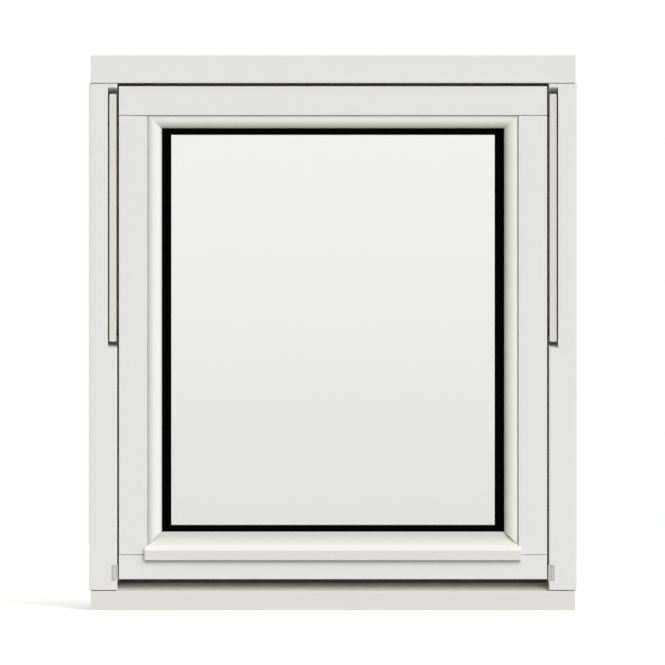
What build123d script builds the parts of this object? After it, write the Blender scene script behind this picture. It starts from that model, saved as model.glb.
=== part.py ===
# Timber top swing window, outward opening, closed.
# Millimetres. The outside faces -Y, +Z is up, and the origin is the middle of the sill's underside.
import os
from math import cos, radians, sin, tan

from build123d import *

# Frame
frame_width = 828.0  # head and sill
frame_height = 948.0
frame_depth = 115.0
jamb_overhang = 2.5  # each jamb stands this far past the ends of the head
jamb_face = 47.8
head_face = 47.4
sill_face = 32.3
sill_slope = 14.0  # degrees, falling outwards
stop_lap = 15.0  # how far the frame's stop reaches behind the sash
frame_arris = 1.0
jamb_arris = 2.5  # beside the sash
sill_arris = 1.5
stop_arris = 1.5
head_joint = 1.9  # open line between jamb and head, at the face
head_joint_depth = 4.0
sill_joint = 2.3
sill_joint_depth = 25.0
fixing_hole_radius = 4.0
fixing_cap_radius = 8.0
fixing_cap_depth = 4.0
fixing_inset = 180.0  # from the foot and the top of the frame to the fixing holes

# Gaps round the sash
side_gap = 3.1
top_gap = 5.8
sill_gap = 20.6  # from the sill's front edge up to the sash
seal_gap = 6.0  # between the sash's back and the frame's stop

# Sash
sash_depth = 56.0
stile_face = 48.5
top_rail_face = 49.4
bottom_rail_face = 41.2
sash_arris = 0.6
sash_joint = 1.0  # open line between stile and rail, at the face
sash_joint_depth = 8.0
lip_arris = 4.0

# Glazing beads
side_bead = 24.3
top_bead = 21.6
bottom_bead = 39.5  # from the bottom rail's ledge up to the glass
bead_edge = 3.0  # thickness left at the glass
bead_quirk = 6.5  # how far the round falls back beside the stile
bead_crest = 0.38  # the bead's highest line, as a share of its width
bead_mitre_gap = 0.4  # between the side beads and the bottom bead
nose_projection = 7.5
nose_height = 16.3
nose_lap = 8.4  # how far the nose hangs below the ledge
nose_overhang = 4.4  # how far the nose runs past the side beads
nose_break = 8.4  # height of the flatter slope above the nose
nose_break_set = 1.5  # that slope's top, behind the sash's face
bead_rake = 10.0  # degrees from upright where the bottom bead's round starts, above the nose
nose_round = 1.0  # upper edge
nose_lower_round = 0.5
drip_groove = 2.5
drip_inset = 2.5

# Glazing
glass_set = 18.0  # glass behind the sash's face
pane_thickness = 4.0
pane_cavity = 16.0
outer_gasket = 3.0
inner_gasket = 3.0
glass_clearance = 5.0
gasket_bury = 8.0  # gasket under the bead
gasket_lip = 1.2
side_band = 16.15  # black gasket in view
top_band = 11.4
bottom_band = 11.5
spacer_cover = 2.0  # spacer hidden behind the gasket's lip
spacer_seal = 4.0
setting_block_height = 8.0
setting_block_length = 100.0
setting_block_inset = 80.0

# Swing arms
arm_width = 12.2
arm_depth = 24.0
arm_wall = 2.5
frame_pivot_inset = 27.9  # upper pivot below the sash's top
arm_end = 15.0  # from a pivot to the arm's end
arm_corner = 2.5  # seen from the front
arm_edge = 1.2
arm_set = 3.0  # arm behind the jamb's face
arm_side_gap = 1.4  # arm to the jamb's edge
arm_clear = 1.0
pivot_plate = 1.4
pivot_plate_length = 56.0
pivot_plate_set = 8.0  # plate's front behind the arm's
pivot_radius = 4.0
pivot_clear = 0.1
slot_end_gap = 11.2  # slot beyond the arm's end, at the face
slot_depth = 30.0
slot_run_out = 9.5

# Slide tracks and shoes
track_width = 18.0
track_depth = 9.0
track_wall = 1.5
track_inset = 3.5  # timber left between the slot and the track
track_end_gap = 30.0  # track short of the head and of the sash's foot
shoe_length = 40.0
shoe_clear = 0.3
shoe_inset = 30.0  # shoe's middle below the sash's top
shoe_pin_radius = 3.0
shoe_pin_bury = 10.0

# Guide blocks at the foot of the jambs
block_width = 11.6
block_height = 28.0
block_depth = 25.0
block_proud = 1.1  # towards the sash
block_drop = 3.4  # block's foot below the sash's foot
block_step = 1.5
block_step_width = 5.8
block_chamfer = 1.2
block_groove = 0.5  # line round the block's middle
block_groove_depth = 0.6
block_rim = 2.4

# Seals
seal_width = 8.0
seal_round = 2.0
seal_skirt = 1.0  # foot seal's lower edge above the sill

# Inside handle
handle_plate_length = 110.0
handle_plate_height = 30.0
handle_plate_depth = 9.0
handle_plate_chamfer = 2.0
handle_collar_radius = 11.0
handle_collar_length = 4.0
handle_neck_radius = 8.0
handle_neck_length = 22.0
handle_lever_length = 124.0
handle_lever_height = 20.0  # at the neck
handle_lever_end = 15.0
handle_lever_depth = 12.0
handle_round = 4.0

# Places that follow from the sizes above
face_y = -frame_depth / 2
room_y = frame_depth / 2
jamb_out = frame_width / 2 + jamb_overhang
jamb_in = jamb_out - jamb_face
head_z = frame_height - head_face
sash_x = jamb_in - side_gap
sash_top = head_z - top_gap
sash_bottom = sill_face + sill_gap
sash_back = face_y + sash_depth
stop_y = sash_back + seal_gap
stop_x = sash_x - stop_lap
stop_top = sash_top - stop_lap
stop_bottom = sash_bottom + stop_lap
bead_x = sash_x - stile_face
bead_z = sash_top - top_rail_face
ledge_z = sash_bottom + bottom_rail_face
sight_x = bead_x - side_bead
sight_top = bead_z - top_bead
sight_bottom = ledge_z + bottom_bead
glass_y = face_y + glass_set
bead_back = glass_y - outer_gasket
unit_depth = 2 * pane_thickness + pane_cavity
lip_y = glass_y + unit_depth + inner_gasket
glass_x = bead_x - glass_clearance
glass_top = bead_z - glass_clearance
glass_bottom = ledge_z + setting_block_height
day_x = sight_x - side_band
day_top = sight_top - top_band
day_bottom = sight_bottom + bottom_band
nose_y = face_y - nose_projection
nose_bottom = ledge_z - nose_lap
nose_top = nose_bottom + nose_height
break_z = nose_top + nose_break
break_y = face_y + nose_break_set
nose_x = bead_x + nose_overhang
slot_x = jamb_in + arm_side_gap + arm_width + arm_clear + pivot_plate
arm_in = jamb_in + arm_side_gap
arm_out = arm_in + arm_width
arm_front = face_y + arm_set
arm_mid_y = arm_front + arm_depth / 2
plate_front = arm_front + pivot_plate_set
sash_pivot_z = (sash_top + sash_bottom) / 2
frame_pivot_z = sash_top - frame_pivot_inset
arm_bottom = sash_pivot_z - arm_end
arm_top = frame_pivot_z + arm_end
track_front = face_y + slot_depth + track_inset
track_mid_y = track_front + track_width / 2
track_bottom = sash_bottom + track_end_gap
track_top = head_z - track_end_gap / 2
shoe_z = sash_top - shoe_inset
fixing_y = (stop_y + room_y) / 2
handle_z = (stop_bottom + sight_bottom) / 2
reach = 1.0  # how far a cut runs past the face it opens


def sill_slope_z(y):
    return sill_face + tan(radians(sill_slope)) * (y - face_y)


# A closed outline from (u, v, corner radius) triples
def outline(*corners):
    points = [(u, v) for u, v, _ in corners]
    radii = [r for _, _, r in corners]
    return make_face(FilletPolyline(*points, radius=radii, close=True))


# An outline in (y, z) run along X
def along_x(face, start, end):
    return extrude(Plane.YZ.offset(start) * face, amount=end - start)


# An outline in (x, y) run along Z
def along_z(face, start, end):
    return extrude(Plane.XY.offset(start) * face, amount=end - start)


# An outline in (x, z) run along Y
def along_y(face, start, end):
    return extrude(Plane.XZ.offset(-end) * face, amount=end - start)


def block(x, y, z):
    size = [high - low for low, high in (x, y, z)]
    middle = [(low + high) / 2 for low, high in (x, y, z)]
    return Pos(*middle) * Box(*size)


# A round bar or hole along X
def rod(radius, x, y, z):
    turned = Pos((x[0] + x[1]) / 2, y, z) * Rot(0, 90, 0)
    return turned * Cylinder(radius, x[1] - x[0])


def left_of(piece):
    return mirror(piece, about=Plane.YZ)


# Frame members
def head():
    section = outline(
        (face_y, head_z, frame_arris),
        (face_y, frame_height, frame_arris),
        (room_y, frame_height, frame_arris),
        (room_y, stop_top, jamb_arris),
        (stop_y, stop_top, stop_arris),
        (stop_y, head_z, 0),
    )
    return along_x(section, -frame_width / 2, frame_width / 2)


# The sill's underside is bedded on the wall and keeps its square edges
def sill():
    section = outline(
        (face_y, 0, 0),
        (face_y, sill_face, sill_arris),
        (stop_y, sill_slope_z(stop_y), 0),
        (stop_y, stop_bottom, stop_arris),
        (room_y, stop_bottom, jamb_arris),
        (room_y, 0, 0),
    )
    return along_x(section, -frame_width / 2, frame_width / 2)


# Timber above the foot of the head, and below the top of the sill, is scribed off the jambs
def head_scribe():
    section = outline(
        (face_y - reach, head_z, 0),
        (stop_y, head_z, 0),
        (stop_y, stop_top, 0),
        (room_y + reach, stop_top, 0),
        (room_y + reach, frame_height + reach, 0),
        (face_y - reach, frame_height + reach, 0),
    )
    return along_x(section, 0, jamb_out + reach)


def sill_scribe():
    section = outline(
        (face_y - reach, -reach, 0),
        (room_y + reach, -reach, 0),
        (room_y + reach, stop_bottom, 0),
        (stop_y, stop_bottom, 0),
        (stop_y, sill_slope_z(stop_y), 0),
        (face_y - reach, sill_slope_z(face_y - reach), 0),
    )
    return along_x(section, 0, jamb_out + reach)


# The slot's ends run out to the face at a slant
def arm_slot():
    low = arm_bottom - slot_end_gap
    high = arm_top + slot_end_gap
    floor = face_y + slot_depth
    section = outline(
        (face_y - reach, low, 0),
        (face_y, low, 0),
        (floor, low + slot_run_out, 0),
        (floor, high - slot_run_out, 0),
        (face_y, high, 0),
        (face_y - reach, high, 0),
    )
    return along_x(section, jamb_in - reach, slot_x)


def guide_block_seat():
    return block(
        (jamb_in - reach, jamb_in - block_proud + block_width),
        (face_y - reach, face_y + block_depth),
        (sash_bottom - block_drop, sash_bottom - block_drop + block_height),
    )


def fixing_hole(z):
    hole = rod(fixing_hole_radius, (stop_x - reach, jamb_out + reach), fixing_y, z)
    cap = rod(fixing_cap_radius, (stop_x - reach, stop_x + fixing_cap_depth), fixing_y, z)
    return hole + cap


# Narrow open line at the face where two members meet
def joint_line(x, low, width, depth):
    return block(x, (face_y - reach, face_y + depth), (low, low + width))


def jamb():
    section = outline(
        (jamb_in, face_y, jamb_arris),
        (jamb_out, face_y, frame_arris),
        (jamb_out, room_y, frame_arris),
        (stop_x, room_y, jamb_arris),
        (stop_x, stop_y, stop_arris),
        (jamb_in, stop_y, 0),
    )
    post = along_z(section, 0, frame_height)
    groove = block(
        (jamb_in - reach, jamb_in + track_depth),
        (track_front, track_front + track_width),
        (track_bottom, track_top),
    )
    for cut in (head_scribe(), sill_scribe(), arm_slot(), groove, guide_block_seat()):
        post -= cut
    across = (jamb_in - reach, jamb_out + reach)
    post -= joint_line(across, head_z - head_joint, head_joint, head_joint_depth)
    post -= joint_line(across, sill_face, sill_joint, sill_joint_depth)
    for z in (fixing_inset, frame_height - fixing_inset):
        post -= fixing_hole(z)
    return post


# Compression seals between the stop and the back of the sash
def seal_section(low, high, along_depth):
    corners = (
        (low, sash_back, seal_round),
        (high, sash_back, seal_round),
        (high, stop_y, 0),
        (low, stop_y, 0),
    )
    if along_depth:
        return outline(*((v, u, r) for u, v, r in corners))
    return outline(*corners)


def seals():
    inset = (stop_lap - seal_width) / 2
    x = (stop_x + inset, stop_x + inset + seal_width)
    top = (stop_top + inset, stop_top + inset + seal_width)
    foot = (sill_slope_z(stop_y) + seal_skirt, stop_bottom - inset)
    upright = along_z(seal_section(*x, False), foot[1], top[0])
    return {
        "frame_seal_head": along_x(seal_section(*top, True), -x[1], x[1]),
        "frame_seal_sill": along_x(seal_section(*foot, True), -x[1], x[1]),
        "frame_seal_right": upright,
        "frame_seal_left": left_of(upright),
    }


# Guide block that centres the foot of the sash
def guide_block():
    x = jamb_in - block_proud
    low = sash_bottom - block_drop
    back = face_y + block_depth
    section = outline(
        (x, face_y + block_step, block_chamfer),
        (x + block_step_width, face_y + block_step, 0),
        (x + block_step_width, face_y, 0),
        (x + block_width, face_y, 0),
        (x + block_width, back, 0),
        (x, back, 0),
    )
    body = along_z(section, low, low + block_height)
    middle = Pos(x + block_width / 2, low + block_height / 2)
    panel = (block_width - 2 * block_rim, block_height - 2 * block_rim)
    line = middle * Rectangle(*panel) - middle * Rectangle(*(side - 2 * block_groove for side in panel))
    return body - along_y(line, face_y, face_y + block_step + block_groove_depth)


# Pressed channel with its web to the outside
def swing_arm():
    back = arm_front + arm_depth
    section = outline(
        (arm_in, back, 0),
        (arm_in, arm_front, arm_edge),
        (arm_out, arm_front, arm_edge),
        (arm_out, back, 0),
        (arm_out - arm_wall, back, 0),
        (arm_out - arm_wall, arm_front + arm_wall, 0),
        (arm_in + arm_wall, arm_front + arm_wall, 0),
        (arm_in + arm_wall, back, 0),
    )
    arm = along_z(section, arm_bottom, arm_top)
    middle = Pos((arm_in + arm_out) / 2, (arm_bottom + arm_top) / 2)
    plan = middle * RectangleRounded(arm_width, arm_top - arm_bottom, arm_corner)
    arm &= along_y(plan, arm_front, back)
    for z in (sash_pivot_z, frame_pivot_z):
        arm -= rod(pivot_radius + pivot_clear, (arm_in - reach, arm_out + reach), arm_mid_y, z)
    return arm


def frame_pivot():
    plate = block(
        (slot_x - pivot_plate, slot_x),
        (plate_front, arm_front + arm_depth),
        (frame_pivot_z - pivot_plate_length + arm_end, frame_pivot_z + arm_end),
    )
    return plate + rod(pivot_radius, (arm_in, slot_x - pivot_plate / 2), arm_mid_y, frame_pivot_z)


def sash_pivot_seat():
    half = pivot_plate_length / 2
    return block(
        (sash_x - pivot_plate, sash_x),
        (plate_front, arm_front + arm_depth),
        (sash_pivot_z - half, sash_pivot_z + half),
    )


def sash_pivot():
    pin = rod(pivot_radius, (sash_x - pivot_plate / 2, arm_out), arm_mid_y, sash_pivot_z)
    return sash_pivot_seat() + pin


# Slide track let into the jamb, with its mouth towards the sash
def slide_track():
    back = jamb_in + track_depth
    channel = block(
        (jamb_in, back),
        (track_front, track_front + track_width),
        (track_bottom, track_top),
    )
    hollow = block(
        (jamb_in - reach, back - track_wall),
        (track_front + track_wall, track_front + track_width - track_wall),
        (track_bottom - reach, track_top + reach),
    )
    return channel - hollow


def slide_shoe():
    side = track_wall + shoe_clear
    floor = jamb_in + track_depth - track_wall
    body = block(
        (jamb_in, floor),
        (track_front + side, track_front + track_width - side),
        (shoe_z - shoe_length / 2, shoe_z + shoe_length / 2),
    )
    return body + rod(shoe_pin_radius, (sash_x - shoe_pin_bury, floor), track_mid_y, shoe_z)


# Sash members
def top_rail():
    section = outline(
        (face_y, bead_z, sash_arris),
        (face_y, sash_top, sash_arris),
        (sash_back, sash_top, sash_arris),
        (sash_back, sight_top, lip_arris),
        (lip_y, sight_top, 0),
        (lip_y, bead_z, 0),
    )
    rail = along_x(section, -sash_x, sash_x)
    for side in (-1, 1):
        rail -= side_scribe(side, sight_top - reach, bead_z)
    for pin_hole in (shoe_pin_hole(), left_of(shoe_pin_hole())):
        rail -= pin_hole
    corner = lip_corner(sight_top, 1)
    return rail + corner + left_of(corner)


def bottom_rail():
    section = outline(
        (face_y, sash_bottom, sash_arris),
        (face_y, ledge_z, sash_arris),
        (lip_y, ledge_z, 0),
        (lip_y, sight_bottom, 0),
        (sash_back, sight_bottom, lip_arris),
        (sash_back, sash_bottom, sash_arris),
    )
    rail = along_x(section, -sash_x, sash_x)
    for side in (-1, 1):
        rail -= side_scribe(side, ledge_z, sight_bottom + reach)
    corner = lip_corner(sight_bottom, -1)
    return rail + corner + left_of(corner)


def shoe_pin_hole():
    span = (sash_x - shoe_pin_bury, sash_x + reach)
    return rod(shoe_pin_radius + pivot_clear, span, track_mid_y, shoe_z)


# The rails' lips stop between the stiles
def side_scribe(side, low, high):
    ends = sorted((side * bead_x, side * (sash_x + reach)))
    return block(ends, (face_y, sash_back + reach), (low, high))


# Waste of the lip's round, left on the rail past the glass so that the rounds meet in a mitre
def lip_corner(z, up):
    half = lip_arris / 2
    depth = sash_back - half
    over = Pos(depth, z + up * half) * Rectangle(lip_arris, lip_arris)
    over -= Pos(sash_back - lip_arris, z + up * lip_arris) * Circle(lip_arris)
    beside = Pos(sight_x + half, depth) * Rectangle(lip_arris, lip_arris)
    beside -= Pos(sight_x + lip_arris, sash_back - lip_arris) * Circle(lip_arris)
    span = sorted((z, z + up * lip_arris))
    return along_x(over, sight_x, bead_x) - along_z(beside, *span)


def stile():
    section = outline(
        (bead_x, face_y, 0),
        (sash_x, face_y, sash_arris),
        (sash_x, sash_back, sash_arris),
        (sight_x, sash_back, lip_arris),
        (sight_x, lip_y, 0),
        (bead_x, lip_y, 0),
    )
    post = along_z(section, ledge_z, bead_z)
    lip = ((sight_x - reach, bead_x), (lip_y - reach, sash_back + reach))
    post -= block(*lip, (ledge_z - reach, sight_bottom))
    post -= block(*lip, (sight_top, bead_z + reach))
    for low in (ledge_z, bead_z - sash_joint):
        post -= joint_line((bead_x - reach, sash_x + reach), low, sash_joint, sash_joint_depth)
    return post - sash_pivot_seat()


# Bead section: u runs from the stile or rail to the glass, v is depth. Two rounds meet at the crest
def bead_section(width):
    crest = (bead_crest * width, face_y)
    quirk = (0, face_y + bead_quirk)
    edge = (width, bead_back - bead_edge)
    rounds = [TangentArc(crest, edge, tangent=(1, 0)), TangentArc(crest, quirk, tangent=(-1, 0))]
    rest = Polyline(quirk, (0, bead_back), (width, bead_back), edge)
    return make_face([*rounds[0].edges(), *rounds[1].edges(), *rest.edges()])


# Front views of the beads, which give their mitres
def upright_outline(outer_x, outer_top, outer_bottom, inner_x, inner_top, inner_bottom):
    return outline(
        (outer_x, outer_top, 0),
        (inner_x, inner_top, 0),
        (inner_x, inner_bottom, 0),
        (outer_x, outer_bottom, 0),
    )


def level_outline(outer_x, outer_z, inner_x, inner_z):
    return outline(
        (-outer_x, outer_z, 0),
        (outer_x, outer_z, 0),
        (inner_x, inner_z, 0),
        (-inner_x, inner_z, 0),
    )


def side_bead_piece():
    start = Plane((bead_x, 0, bead_z), x_dir=(-1, 0, 0), z_dir=(0, 0, -1))
    bar = extrude(start * bead_section(side_bead), amount=bead_z - ledge_z)
    front = upright_outline(
        bead_x, bead_z, break_z + bead_mitre_gap, sight_x, sight_top, sight_bottom + bead_mitre_gap
    )
    return bar & along_y(front, nose_y, bead_back)


def top_bead_piece():
    start = Plane((-bead_x, 0, bead_z), x_dir=(0, 0, -1), z_dir=(1, 0, 0))
    bar = extrude(start * bead_section(top_bead), amount=2 * bead_x)
    front = level_outline(bead_x, bead_z, sight_x, sight_top)
    return bar & along_y(front, nose_y, bead_back)


# Bottom bead, rounded as the others are down to a nose that hangs over the rail and has a drip groove
def bottom_bead_piece():
    groove = nose_y + drip_inset
    edge = (bead_back - bead_edge, sight_bottom)
    lip = (break_y, break_z)
    rake = radians(bead_rake)
    rounded = TangentArc(lip, edge, tangent=(sin(rake), cos(rake)))
    nose = FilletPolyline(
        lip,
        (nose_y, nose_top),
        (nose_y, nose_bottom),
        (groove, nose_bottom),
        (groove, nose_bottom + drip_groove),
        (groove + drip_groove, nose_bottom + drip_groove),
        (groove + drip_groove, nose_bottom),
        (face_y, nose_bottom),
        (face_y, ledge_z),
        (bead_back, ledge_z),
        (bead_back, sight_bottom),
        edge,
        radius=[nose_round, nose_lower_round, *[0] * 8],
    )
    section = make_face([*rounded.edges(), *nose.edges()])
    bar = along_x(section, -nose_x, nose_x)
    front = outline(
        (-sight_x, sight_bottom, 0),
        (-bead_x, break_z, 0),
        (-nose_x, nose_top + nose_break / 2, 0),
        (-nose_x, nose_bottom - reach, 0),
        (nose_x, nose_bottom - reach, 0),
        (nose_x, nose_top + nose_break / 2, 0),
        (bead_x, break_z, 0),
        (sight_x, sight_bottom, 0),
    )
    bead = bar & along_y(front, nose_y - reach, bead_back)
    for side in (-1, 1):
        ends = sorted((side * bead_x, side * (nose_x + reach)))
        bead -= block(ends, (face_y, bead_back + reach), (nose_bottom, sight_bottom))
    return bead


# Insulating unit
def pane(front):
    return block((-glass_x, glass_x), (front, front + pane_thickness), (glass_bottom, glass_top))


def ring(outer, inner, front, back):
    (outer_x, outer_low, outer_high), (inner_x, inner_low, inner_high) = outer, inner
    solid = block((-outer_x, outer_x), (front, back), (outer_low, outer_high))
    hole = (front - reach, back + reach)
    return solid - block((-inner_x, inner_x), hole, (inner_low, inner_high))


def spacer():
    outer = (glass_x - spacer_seal, glass_bottom + spacer_seal, glass_top - spacer_seal)
    inner = (day_x + spacer_cover, day_bottom - spacer_cover, day_top + spacer_cover)
    front = glass_y + pane_thickness
    return ring(outer, inner, front, front + pane_cavity)


def glazing_tape():
    outer = (sight_x + gasket_bury, sight_bottom - gasket_bury, sight_top + gasket_bury)
    back = glass_y + unit_depth
    return ring(outer, (sight_x, sight_bottom, sight_top), back, lip_y)


# Outer gasket strips, mitred, with a lip that thins towards the glass
def gasket_section(buried, edge, lip_end, along_depth):
    corners = (
        (buried, glass_y),
        (lip_end, glass_y),
        (lip_end, glass_y - gasket_lip),
        (edge, bead_back),
        (buried, bead_back),
    )
    if along_depth:
        return outline(*((v, u, 0) for u, v in corners))
    return outline(*((u, v, 0) for u, v in corners))


def gaskets():
    buried_x = sight_x + gasket_bury
    buried_top = sight_top + gasket_bury
    buried_bottom = sight_bottom - gasket_bury
    upright = along_z(gasket_section(buried_x, sight_x, day_x, False), buried_bottom, buried_top)
    front = upright_outline(buried_x, buried_top, buried_bottom, day_x, day_top, day_bottom)
    upright &= along_y(front, bead_back, glass_y)
    level = {}
    for name, buried, edge, day in (
        ("glazing_gasket_top", buried_top, sight_top, day_top),
        ("glazing_gasket_bottom", buried_bottom, sight_bottom, day_bottom),
    ):
        strip = along_x(gasket_section(buried, edge, day, True), -buried_x, buried_x)
        level[name] = strip & along_y(level_outline(buried_x, buried, day_x, day), bead_back, glass_y)
    return {
        **level,
        "glazing_gasket_right": upright,
        "glazing_gasket_left": left_of(upright),
    }


def setting_blocks():
    middle = glass_x - setting_block_inset
    pair = []
    for side in (-1, 1):
        ends = sorted((side * (middle - setting_block_length), side * middle))
        pair.append(block(ends, (glass_y, glass_y + unit_depth), (ledge_z, glass_bottom)))
    return Compound(pair)


# Handle on the room side of the bottom rail
def facing_room(y):
    return Plane((0, y, handle_z), x_dir=(1, 0, 0), z_dir=(0, 1, 0))


def handle_plate():
    plate = extrude(
        facing_room(sash_back) * SlotOverall(handle_plate_length, handle_plate_height),
        amount=handle_plate_depth,
    )
    front = plate.faces().sort_by(Axis.Y)[-1]
    return chamfer(front.edges(), handle_plate_chamfer)


def handle_lever():
    neck_start = sash_back + handle_plate_depth
    neck = extrude(
        facing_room(neck_start) * Circle(handle_neck_radius),
        amount=handle_neck_length,
    )
    collar = extrude(
        facing_room(neck_start) * Circle(handle_collar_radius),
        amount=handle_collar_length,
    )
    grip_start = neck_start + handle_neck_length
    end = handle_lever_length - handle_lever_height / 2 - handle_lever_end / 2
    rounds = Circle(handle_lever_height / 2).edges() + (Pos(end, 0) * Circle(handle_lever_end / 2)).edges()
    grip = extrude(facing_room(grip_start) * make_hull(rounds), amount=handle_lever_depth)
    front = grip.faces().sort_by(Axis.Y)[-1]
    back = grip.faces().sort_by(Axis.Y)[0]
    return fillet([*front.edges(), *back.edges()], handle_round) + neck + collar


# Every node by name, with the left one of each pair mirrored from the right
def all_nodes():
    nodes = {
        "head": head(),
        "sill": sill(),
        "sash_top_rail": top_rail(),
        "sash_bottom_rail": bottom_rail(),
        "bead_top": top_bead_piece(),
        "bead_bottom": bottom_bead_piece(),
        "outer_pane": pane(glass_y),
        "inner_pane": pane(glass_y + pane_thickness + pane_cavity),
        "spacer": spacer(),
        "glazing_tape": glazing_tape(),
        "setting_blocks": setting_blocks(),
        "handle_plate": handle_plate(),
        "handle_lever": handle_lever(),
        **seals(),
        **gaskets(),
    }
    for name, piece in (
        ("jamb", jamb()),
        ("sash_stile", stile()),
        ("bead", side_bead_piece()),
        ("swing_arm", swing_arm()),
        ("frame_pivot", frame_pivot()),
        ("sash_pivot", sash_pivot()),
        ("slide_track", slide_track()),
        ("slide_shoe", slide_shoe()),
        ("guide_block", guide_block()),
    ):
        nodes[name + "_right"] = piece
        nodes[name + "_left"] = left_of(piece)
    return nodes


os.makedirs("parts", exist_ok=True)
for node, solid in all_nodes().items():
    export_step(solid, f"parts/{node}.step")
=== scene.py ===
import math

import bmesh
import bpy
from mathutils import Matrix, Vector


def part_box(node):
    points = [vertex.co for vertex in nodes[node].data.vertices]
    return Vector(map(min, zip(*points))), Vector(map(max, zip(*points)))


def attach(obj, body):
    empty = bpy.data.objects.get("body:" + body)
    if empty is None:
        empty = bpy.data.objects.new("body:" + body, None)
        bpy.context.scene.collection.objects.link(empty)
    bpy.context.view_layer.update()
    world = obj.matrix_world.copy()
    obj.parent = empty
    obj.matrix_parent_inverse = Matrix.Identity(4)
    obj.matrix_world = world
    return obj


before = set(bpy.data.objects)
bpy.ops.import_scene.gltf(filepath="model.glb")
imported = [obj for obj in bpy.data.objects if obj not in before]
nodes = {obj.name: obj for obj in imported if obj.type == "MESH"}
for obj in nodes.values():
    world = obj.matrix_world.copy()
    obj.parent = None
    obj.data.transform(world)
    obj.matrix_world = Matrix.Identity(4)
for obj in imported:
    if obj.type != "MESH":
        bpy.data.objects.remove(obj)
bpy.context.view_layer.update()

print("frame:", len(nodes), "solids")


# One shader socket that takes part in plain maths, and the one way a node is added
class Wire:
    def __init__(self, tree, socket=None):
        self.tree = tree
        self.socket = socket

    def node(self, kind, settings=None, inputs=None, out=0):
        made = self.tree.nodes.new(kind)
        for key, value in (settings or {}).items():
            setattr(made, key, value)
        for key, value in (inputs or {}).items():
            if isinstance(value, Wire):
                self.tree.links.new(value.socket, made.inputs[key])
            else:
                made.inputs[key].default_value = value
        return Wire(self.tree, made.outputs[out])

    def __add__(self, other):
        return maths("ADD", self, other)

    def __radd__(self, other):
        return maths("ADD", other, self)

    def __sub__(self, other):
        return maths("SUBTRACT", self, other)

    def __rsub__(self, other):
        return maths("SUBTRACT", other, self)

    def __mul__(self, other):
        return maths("MULTIPLY", self, other)

    def __rmul__(self, other):
        return maths("MULTIPLY", other, self)


# Node tree helpers
def maths(operation, first, second):
    wire = first if isinstance(first, Wire) else second
    return wire.node("ShaderNodeMath", {"operation": operation}, {0: first, 1: second})


def place(wire):
    return wire.node("ShaderNodeTexCoord", out="Object")


def stretched(wire, along, share):
    scale = [1.0, 1.0, 1.0]
    scale["xyz".index(along)] = share
    return wire.node("ShaderNodeVectorMath", {"operation": "MULTIPLY"}, {0: place(wire), 1: scale})


def noise(wire, scale, detail, roughness=0.55, vector=None):
    inputs = {"Scale": scale, "Detail": detail, "Roughness": roughness, "Vector": vector or place(wire)}
    return wire.node("ShaderNodeTexNoise", {}, inputs)


def blend(wire, share, first, second):
    first, second = ((*colour, 1) if isinstance(colour, tuple) else colour for colour in (first, second))
    return wire.node("ShaderNodeMix", {"data_type": "RGBA"}, {"Factor": share, 6: first, 7: second}, out=2)


def smoothStep(wire, value, start, end, low=0.0, high=1.0):
    inputs = {"Value": value, "From Min": start, "From Max": end, "To Min": low, "To Max": high}
    return wire.node("ShaderNodeMapRange", {"interpolation_type": "SMOOTHSTEP"}, inputs)


def across(wire, axis, start, end):
    along = wire.node("ShaderNodeSeparateXYZ", {}, {0: place(wire)}, out=axis)
    return smoothStep(wire, along, start, end)


def relief(wire, height, depth, strength=1.0):
    return wire.node("ShaderNodeBump", {}, {"Height": height, "Distance": depth, "Strength": strength})


def darker(colour, share):
    return tuple(part * (1 - share) for part in colour)


# A material whose Principled shader takes plain values and wires alike
def finish(name, build):
    made = bpy.data.materials.new(name)
    made.use_nodes = True
    tree = made.node_tree
    shader = tree.nodes["Principled BSDF"]
    for key, value in build(Wire(tree)).items():
        if isinstance(value, Wire):
            tree.links.new(value.socket, shader.inputs[key])
        elif isinstance(value, tuple):
            shader.inputs[key].default_value = (*value, 1)
        else:
            shader.inputs[key].default_value = value
    return made


# Painted timber: sprayed satin paint over planed wood, with the grain just telegraphing through
paint = {
    "colour": (0.765, 0.765, 0.748),
    "sillColour": (0.735, 0.726, 0.688),
    # The beads' white is the frame's with a warmer tint, a painted tint for the warm shade they sit in
    "beadColour": (0.765, 0.765, 0.724),
    "drift": 0.024,  # darkest against lightest
    "grain": (420.0, 4.0, 0.6),  # pitch, detail and grit
    "grainStretch": 0.025,
    "grainShare": 0.6,  # the rest of the drift is cloud, the rest of the relief is peel
    "peel": (1500.0, 2.0),
    "cloud": (9.0, 2.0),
    "roughness": 0.35,
    "peelRoughness": 0.06,
    "grainRoughness": 0.04,
    "depth": 0.00012,
    "strength": 0.5,
    "shine": 0.4,
}


def paintedTimber(name, colour, along, toning=(), within=()):
    grained, rest = paint["grainShare"], 1 - paint["grainShare"]

    def build(wire):
        grain = noise(wire, *paint["grain"], stretched(wire, along, paint["grainStretch"]))
        peel = noise(wire, *paint["peel"])
        cloud = noise(wire, *paint["cloud"])
        tint = blend(wire, grain * grained + cloud * rest, colour, darker(colour, paint["drift"]))
        for shade, start, end in toning:
            share = across(wire, "Z", start, end)
            for axis, edge, inside in within:
                share = share * across(wire, axis, edge, inside)
            tint = blend(wire, share, tint, shade)
        rough = paint["roughness"] + peel * paint["peelRoughness"] + grain * paint["grainRoughness"]
        return {
            "Base Color": tint,
            "Roughness": rough,
            "Normal": relief(wire, grain * grained + peel * rest, paint["depth"], paint["strength"]),
            "Specular IOR Level": paint["shine"],
        }

    return finish(name, build)


paintLevel = paintedTimber("paintAlongX", paint["colour"], "x")
paintUpright = paintedTimber("paintAlongZ", paint["colour"], "z")
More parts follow.
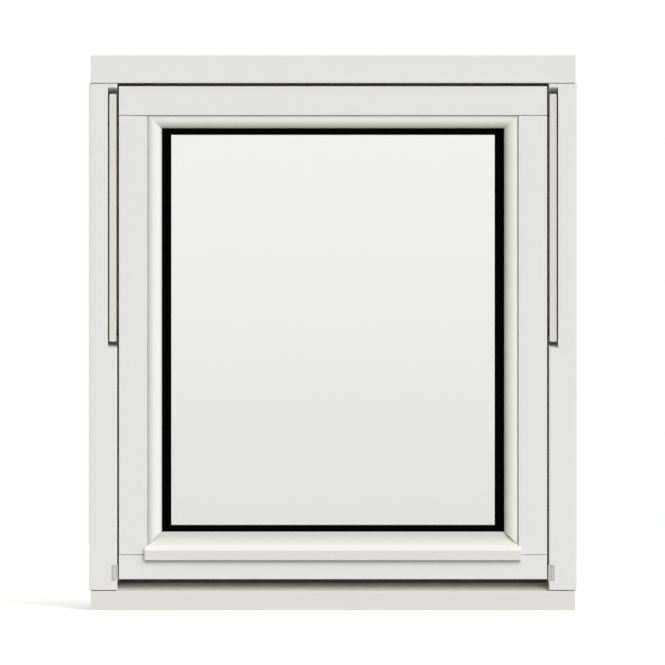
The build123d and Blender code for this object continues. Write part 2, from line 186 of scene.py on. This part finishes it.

# Painted shade and shadow, on the outside only: darker at the back of the sill between the jambs, under
# the sash, and a painted shadow on the bottom rail under the nose. Each pair runs from where a tone starts
# to where it is full, in metres, up the part or through its depth
paintedShade = {
    "sill": (0.0440, 0.0463), "sillShade": 0.5, "sillDepth": (0.030, 0.025),
    "rail": (0.0745, 0.0850), "railShadow": 0.25, "railLight": -0.02, "railDepth": (-0.025, -0.030),
    "sideFade": 0.003,
}


def betweenEnds(left, right):
    fade = paintedShade["sideFade"]
    return ("X", left, left + fade), ("X", right, right - fade)


jambGap = betweenEnds(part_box("sash_stile_left")[0].x - paintedShade["sideFade"],
                      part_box("sash_stile_right")[1].x + paintedShade["sideFade"])
noseRun = betweenEnds(*(corner.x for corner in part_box("bead_bottom")))
paintSill = paintedTimber("paintSill", paint["sillColour"], "x", (
    (darker(paint["sillColour"], paintedShade["sillShade"]), *paintedShade["sill"]),
), (("Y", *paintedShade["sillDepth"]), *jambGap))
# The bottom rail is painted a little lighter all over, as painted light
paintRail = paintedTimber("paintRail", darker(paint["colour"], paintedShade["railLight"]), "x", (
    (darker(paint["colour"], paintedShade["railShadow"]), *paintedShade["rail"]),
), (("Y", *paintedShade["railDepth"]), *noseRun))

# The bottom bead is painted lighter all over as painted light, has painted shade towards the glass,
# a painted highlight on its break and the sill's paint on its nose. The left bead, which faces the key
# lamp, is painted lighter as painted light. The top bead has painted shade on its upper round, next to the
# rail, and towards the glass.
# Each pair is two heights, as those of the painted shade above are
beadLook = {
    "bottomBeadLight": -0.04, "grey": (0.1115, 0.1285), "glassShade": 0.235,
    "break": (0.1118, 0.1098), "breakHighlight": -0.085,
    "nose": (0.1030, 0.1015),
    "sideLight": -0.07,
    "quirkShadeIn": (0.8375, 0.8412), "quirkShade": 0.14, "quirkShadeOut": (0.8422, 0.8436),
    "shade": (0.8365, 0.8305), "shaded": 0.09,
}


def beadPaint(change):
    return darker(paint["beadColour"], beadLook[change])


paintNose = paintedTimber("paintNose", beadPaint("bottomBeadLight"), "x", (
    (beadPaint("glassShade"), *beadLook["grey"]),
    (beadPaint("breakHighlight"), *beadLook["break"]),
    (paint["sillColour"], *beadLook["nose"]),
))
paintRightBead = paintedTimber("paintRightBead", paint["beadColour"], "z")
paintLitLeftBead = paintedTimber("paintLitLeftBead", beadPaint("sideLight"), "z")
paintTopBead = paintedTimber("paintTopBead", paint["beadColour"], "x", (
    (beadPaint("quirkShade"), *beadLook["quirkShadeIn"]),
    (paint["beadColour"], *beadLook["quirkShadeOut"]),
    (beadPaint("shaded"), *beadLook["shade"]),
))


# Clear float glass with its faint roller wave, which lets lamps through
glass = {"tint": (0.93, 0.93, 0.926), "ior": 1.5, "wavePitch": 5.0, "wave": 0.0002}


def clearGlass(name):
    made = finish(name, lambda wire: {
        "Base Color": glass["tint"],
        "Roughness": 0.0,
        "IOR": glass["ior"],
        "Transmission Weight": 1.0,
        "Normal": relief(wire, noise(wire, glass["wavePitch"], 1.0), glass["wave"]),
    })
    tree = made.node_tree
    wire = Wire(tree)
    lamp = wire.node("ShaderNodeLightPath", out="Is Shadow Ray")
    through = wire.node("ShaderNodeBsdfTransparent", {}, {"Color": (*glass["tint"], 1)})
    pane = Wire(tree, tree.nodes["Principled BSDF"].outputs[0])
    both = wire.node("ShaderNodeMixShader", {}, {0: lamp, 1: pane, 2: through})
    tree.links.new(both.socket, tree.nodes["Material Output"].inputs["Surface"])
    return made


paneGlass = clearGlass("floatGlass")


# Rubber, powder coat, metal and nylon: a fine grain in the relief and gloss, a broad drift in the colour
def grainyFinish(name, look, colour, more=()):
    def build(wire):
        along = stretched(wire, look["along"], look["stretch"]) if "along" in look else None
        fine = noise(wire, look["finePitch"], look["fineDetail"], look["fineGrit"], along)
        broad = noise(wire, look["broadPitch"], look["broadDetail"])
        rough = look["roughness"] + look["fineRoughness"] * fine + look["broadRoughness"] * broad
        return {
            "Base Color": blend(wire, broad, colour, darker(colour, look["drift"])),
            "Roughness": rough,
            "Normal": relief(wire, fine, look["depth"], look["strength"]),
            **dict(more),
        }

    return finish(name, build)


rubber = {
    "finePitch": 2600.0, "fineDetail": 2.0, "fineGrit": 0.55, "broadPitch": 30.0, "broadDetail": 3.0,
    "drift": -0.6, "roughness": 0.52, "fineRoughness": 0.16, "broadRoughness": 0.0,
    "depth": 0.00008, "strength": 0.4,
}
gasketRubber = grainyFinish("gasketRubber", rubber, (0.0003,) * 3, {"Specular IOR Level": 0.012})
sealRubber = grainyFinish("sealRubber", rubber, (0.006,) * 3, {"Specular IOR Level": 0.25})
spacerBlack = grainyFinish("spacerBlack", rubber, (0.006, 0.006, 0.0065), {"Specular IOR Level": 0.3})

powderCoat = {
    "finePitch": 1900.0, "fineDetail": 2.0, "fineGrit": 0.55, "broadPitch": 40.0, "broadDetail": 2.0,
    "drift": 0.02, "roughness": 0.36, "fineRoughness": 0.12, "broadRoughness": 0.0,
    "depth": 0.0001, "strength": 0.5,
}
armCoat = grainyFinish("armPowderCoat", powderCoat, (0.70, 0.692, 0.65))

bareMetal = {
    "finePitch": 1500.0, "fineDetail": 3.0, "fineGrit": 0.6, "broadPitch": 60.0, "broadDetail": 3.0,
    "drift": 0.18, "fineRoughness": 0.14, "broadRoughness": 0.06,
    "depth": 0.00005, "strength": 0.3, "stretch": 0.02,
}
zincLook = {**bareMetal, "along": "y", "roughness": 0.40}
drawnLook = {**bareMetal, "along": "z", "roughness": 0.28}
satinLook = {**bareMetal, "along": "x", "roughness": 0.22}
blackZinc = grainyFinish("blackZinc", zincLook, (0.03,) * 3, {"Metallic": 1.0})
drawnAluminium = grainyFinish("drawnAluminium", drawnLook, (0.78, 0.78, 0.79), {"Metallic": 1.0})
satinAluminium = grainyFinish("satinAluminium", satinLook, (0.46, 0.46, 0.45), {"Metallic": 1.0})

nylon = {
    "finePitch": 1700.0, "fineDetail": 2.0, "fineGrit": 0.55, "broadPitch": 120.0, "broadDetail": 2.0,
    "drift": 0.03, "roughness": 0.45, "fineRoughness": 0.14, "broadRoughness": 0.0,
    "depth": 0.00008, "strength": 0.5,
}
blockNylon = grainyFinish("blockNylon", nylon, (0.60, 0.60, 0.56))
shoeNylon = grainyFinish("shoeNylon", nylon, (0.35, 0.35, 0.34))

finishes = {
    "head": paintLevel, "sill": paintSill, "jamb_left": paintUpright, "jamb_right": paintUpright,
    "sash_top_rail": paintLevel, "sash_bottom_rail": paintRail,
    "sash_stile_left": paintUpright, "sash_stile_right": paintUpright,
    "bead_top": paintTopBead, "bead_bottom": paintNose,
    "bead_left": paintLitLeftBead, "bead_right": paintRightBead,
    "outer_pane": paneGlass, "inner_pane": paneGlass, "spacer": spacerBlack,
    "glazing_tape": sealRubber, "setting_blocks": shoeNylon,
    "handle_plate": satinAluminium, "handle_lever": satinAluminium,
    "frame_seal_head": sealRubber, "frame_seal_sill": sealRubber,
    "frame_seal_left": sealRubber, "frame_seal_right": sealRubber,
    "glazing_gasket_top": gasketRubber, "glazing_gasket_bottom": gasketRubber,
    "glazing_gasket_left": gasketRubber, "glazing_gasket_right": gasketRubber,
    "swing_arm_left": armCoat, "swing_arm_right": armCoat,
    "frame_pivot_left": blackZinc, "frame_pivot_right": blackZinc,
    "sash_pivot_left": blackZinc, "sash_pivot_right": blackZinc,
    "slide_track_left": drawnAluminium, "slide_track_right": drawnAluminium,
    "slide_shoe_left": shoeNylon, "slide_shoe_right": shoeNylon,
    "guide_block_left": blockNylon, "guide_block_right": blockNylon,
}
for name, made in finishes.items():
    for slot in nodes[name].material_slots:
        slot.material = made
print("finishes:", len(finishes), "of", len(nodes), "nodes")

# Two domed cross-head screws in the handle's plate, in metres
screws = {
    "radius": 0.0038, "rise": 0.0009, "sunk": 0.0012, "sides": 40,
    "dome": ((0, 1), (0.45, 0.9), (0.8, 0.55), (1, 0)),  # shares of radius and rise
    "fromEnd": 0.015, "cross": 0.0046, "bar": 0.0009, "deep": 0.0011,
    "turns": (0.35, -0.9),  # radians, as they were driven home
    "weld": 1e-6,
}


def latheHead(look):
    outline = [(across * look["radius"], up * look["rise"]) for across, up in look["dome"]]
    outline += [(look["radius"], -look["sunk"]), (0, -look["sunk"])]
    head = bmesh.new()
    corners = [head.verts.new((x, y, 0)) for x, y in outline]
    edges = [head.edges.new(pair) for pair in zip(corners, corners[1:])]
    bmesh.ops.spin(head, geom=corners + edges, axis=(0, 1, 0), cent=(0, 0, 0),
                   steps=look["sides"], angle=math.tau)
    bmesh.ops.remove_doubles(head, verts=head.verts, dist=look["weld"])
    bmesh.ops.recalc_face_normals(head, faces=head.faces)
    return head


def objectFrom(name, shape):
    mesh = bpy.data.meshes.new(name)
    shape.to_mesh(mesh)
    shape.free()
    made = bpy.data.objects.new(name, mesh)
    bpy.context.scene.collection.objects.link(made)
    return made


def crossCutter(look):
    cutter = bmesh.new()
    for long in "xz":
        size = {"x": look["bar"], "y": 2 * look["deep"], "z": look["bar"], long: look["cross"]}
        bar = Matrix.Translation((0, look["rise"], 0)) @ Matrix.Diagonal((*size.values(), 1))
        bmesh.ops.create_cube(cutter, size=1, matrix=bar)
    return objectFrom("crossCutter", cutter)


# The boolean hands its faces over in a new order each run, so they are put in one fixed order
def inOrder(mesh):
    points = [tuple(vert.co) for vert in mesh.vertices]
    order = sorted(range(len(points)), key=points.__getitem__)
    rank = {old: new for new, old in enumerate(order)}
    faces = []
    for face in mesh.polygons:
        loop = [rank[index] for index in face.vertices]
        first = loop.index(min(loop))
        faces.append(loop[first:] + loop[:first])
    made = bpy.data.meshes.new("screwHead")
    made.from_pydata([points[index] for index in order], [], sorted(faces))
    return made


def driveScrews(look):
    low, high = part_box("handle_plate")
    blank = objectFrom("screwBlank", latheHead(look))
    cutter = crossCutter(look)
    cut = blank.modifiers.new("cross", "BOOLEAN")
    cut.object = cutter
    cut.operation = "DIFFERENCE"
    cut.solver = "EXACT"
    cut.use_self = True  # the cutter's two bars cross
    bpy.context.view_layer.update()
    cutBlank = blank.evaluated_get(bpy.context.evaluated_depsgraph_get())
    head = inOrder(bpy.data.meshes.new_from_object(cutBlank))
    pair = bmesh.new()
    for x, turn in zip((low.x + look["fromEnd"], high.x - look["fromEnd"]), look["turns"]):
        known = set(pair.verts)
        pair.from_mesh(head)
        bottomBeadLight = [vert for vert in pair.verts if vert not in known]
        seat = Matrix.Translation((x, high.y, (low.z + high.z) / 2)) @ Matrix.Rotation(turn, 4, "Y")
        bmesh.ops.transform(pair, matrix=seat, verts=bottomBeadLight)
    for spare in (blank, cutter):
        bpy.data.objects.remove(spare)
    made = objectFrom("handleScrews", pair)
    made.data.materials.append(satinAluminium)
    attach(made, "root")


driveScrews(screws)
print("screws: two in the handle's plate")

# A pale floor. What the camera sees of it is lighter than what it throws back on the part
floorLook = {
    "halfWidth": 4.0, "front": -3.2, "back": 3.0,
    "seen": 0.92, "lift": 0.14,
    "bounce": (0.34, 0.34, 0.32), "glow": (0.22, 0.22, 0.207),
    "roughness": 0.9,
}


def layFloor():
    x, front, back = floorLook["halfWidth"], floorLook["front"], floorLook["back"]
    mesh = bpy.data.meshes.new("floor")
    mesh.from_pydata([(-x, front, 0), (x, front, 0), (x, back, 0), (-x, back, 0)], [], [(0, 1, 2, 3)])
    floor = bpy.data.objects.new("floor", mesh)
    bpy.context.scene.collection.objects.link(floor)

    def build(wire):
        bounced = wire.node("ShaderNodeLightPath", out="Is Diffuse Ray")
        return {
            "Base Color": blend(wire, bounced, (floorLook["seen"],) * 3, floorLook["bounce"]),
            "Emission Color": blend(wire, bounced, (floorLook["lift"],) * 3, floorLook["glow"]),
            "Emission Strength": 1.0,
            "Roughness": floorLook["roughness"],
            "Specular IOR Level": 0.0,
        }

    mesh.materials.append(finish("paleFloor", build))


layFloor()

# A wide soft dome. Camera, mirror and glass rays meet a white backdrop, which greys a little downwards.
# A row of four is two heights of the ray, and the strength at each
surround = {
    "below": 0.51,
    "above": 0.375,
    "lean": (0.35, -0.12, 0.42),
    "fill": (1.0, 1.0, 0.94),  # a little warm, and the lamps a little cool
    "white": (1.0, 1.0, 1.0),
    "horizon": (-0.05, 0.05),
    "backdrop": (-0.11, 0.05, 0.74, 1.016),
    "ground": (-0.05, -0.13, 0.0, 1.14),
}


def lightSurround():
    world = bpy.data.worlds.new("studio")
    bpy.context.scene.world = world
    world.use_nodes = True
    tree = world.node_tree
    wire = Wire(tree)
    heading = wire.node("ShaderNodeTexCoord", out="Generated")
    height = wire.node("ShaderNodeSeparateXYZ", {}, {0: heading}, out="Z")
    leaning = wire.node("ShaderNodeVectorMath", {"operation": "DOT_PRODUCT"},
                        {0: heading, 1: surround["lean"]}, out="Value")
    up = smoothStep(wire, height, *surround["horizon"])
    dome = up * (surround["above"] + leaning) + (1 - up) * surround["below"]
    backdrop, ground = (smoothStep(wire, height, *surround[part]) for part in ("backdrop", "ground"))
    seen, mirrored, passed, bounces = (
        wire.node("ShaderNodeLightPath", out=kind)
        for kind in ("Is Camera Ray", "Is Glossy Ray", "Is Transmission Ray", "Diffuse Depth"))
    straight = maths("LESS_THAN", bounces, 0.5)  # no bounce off a matt surface yet
    clear = maths("MAXIMUM", mirrored, passed) * straight
    strength = seen + (1 - seen) * (clear * maths("MAXIMUM", backdrop, ground) + (1 - clear) * dome)
    shown = seen + (1 - seen) * clear
    colour = blend(wire, shown, surround["fill"], surround["white"])
    sky = tree.nodes["Background"]
    tree.links.new(colour.socket, sky.inputs["Color"])
    tree.links.new(strength.socket, sky.inputs["Strength"])


lightSurround()

# A low soft key from the right in front, and a lamp behind for the room side
lamps = {
    "keyLamp": {"strength": 1.84, "colour": (1, 1, 1.09), "angle": 42.0, "towards": (-0.28, 0.40, -0.31)},
    "backLamp": {"strength": 1.2, "colour": (1, 1, 1.06), "angle": 60.0, "towards": (0.7, -1.0, -0.7)},
}


def hangLamp(name, look):
    lamp = bpy.data.lights.new(name, "SUN")
    lamp.energy = look["strength"]
    lamp.color = look["colour"]
    lamp.angle = math.radians(look["angle"])
    made = bpy.data.objects.new(name, lamp)
    made.rotation_euler = Vector(look["towards"]).to_track_quat("-Z", "Y").to_euler()
    made.visible_glossy = False
    made.visible_transmission = False
    bpy.context.scene.collection.objects.link(made)


for name, look in lamps.items():
    hangLamp(name, look)
print("stage: floor, surround and", len(lamps), "lamps")

# Camera square on to the face, far off so that the depth hardly shows. The pitch is metres a pixel
view = {
    "lens": 300.0, "sensor": 36.0, "far": 100,
    "pixels": 665, "pitch": 0.001708,
    "x": -0.000854, "z": 0.4743,
}


def setCamera():
    data = bpy.data.cameras.new("camera")
    data.lens = view["lens"]
    data.sensor_width = view["sensor"]
    data.clip_end = view["far"]
    distance = view["pixels"] * view["pitch"] * view["lens"] / view["sensor"]
    camera = bpy.data.objects.new("camera", data)
    camera.location = (view["x"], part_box("jamb_left")[0].y - distance, view["z"])
    camera.rotation_euler = (math.radians(90), 0, 0)
    bpy.context.scene.collection.objects.link(camera)
    bpy.context.scene.camera = camera


setCamera()
bpy.context.scene.view_settings.view_transform = "Standard"
